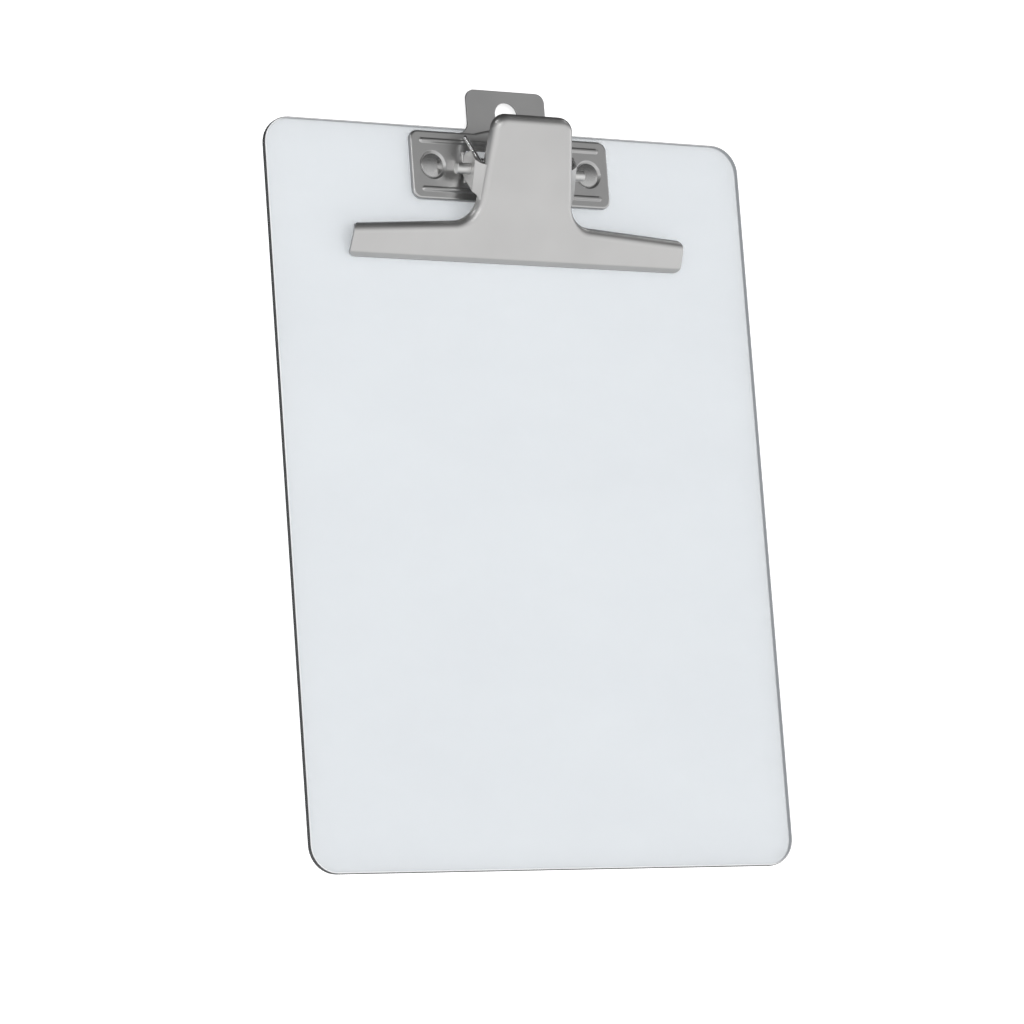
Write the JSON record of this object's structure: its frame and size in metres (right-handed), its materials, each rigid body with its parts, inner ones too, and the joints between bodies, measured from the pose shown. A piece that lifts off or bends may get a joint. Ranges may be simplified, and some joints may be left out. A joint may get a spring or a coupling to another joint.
{
  "type": "clipboard",
  "caption": "Clear plastic clipboard for A4 paper with a wide sprung steel lever clip, its hinge pin, and a hanging tab with a hole.",
  "frame": {"origin": "centre of the board's flat back face", "axes": "+X across the board, +Y up the board towards the clip and its hanging tab, +Z out of the writing face"},
  "size_m": [0.23, 0.332, 0.0286],
  "materials": {
    "clear_board": "clear, polished",
    "plated_base": "bright nickel plate",
    "plated_lever": "satin nickel plate",
    "pin_steel": "bright nickel plate",
    "spring_steel": "bright drawn wire",
    "rivet_steel": "bright nickel plate",
    "washer_steel": "zinc plate"
  },
  "bodies": {
    "base": {"board": "clear_board", "base_plate": "plated_base", "pivot_pin": "pin_steel", "torsion_spring": "spring_steel", "rivet_left": "rivet_steel", "rivet_right": "rivet_steel", "rivet_washer_left": "washer_steel", "rivet_washer_right": "washer_steel"},
    "lever": {"lever": "plated_lever"}
  },
  "joints": [
    {"name": "lever_pivot", "type": "hinge", "parent": "base", "child": "lever", "pos_m": [0, 0.1373, 0.0119], "axis": [-1, 0, 0], "range_deg": [0, 42], "stiffness_Nm_per_rad": 0.7, "springref_deg": -40.11, "deforming": ["torsion_spring"]}
  ]
}
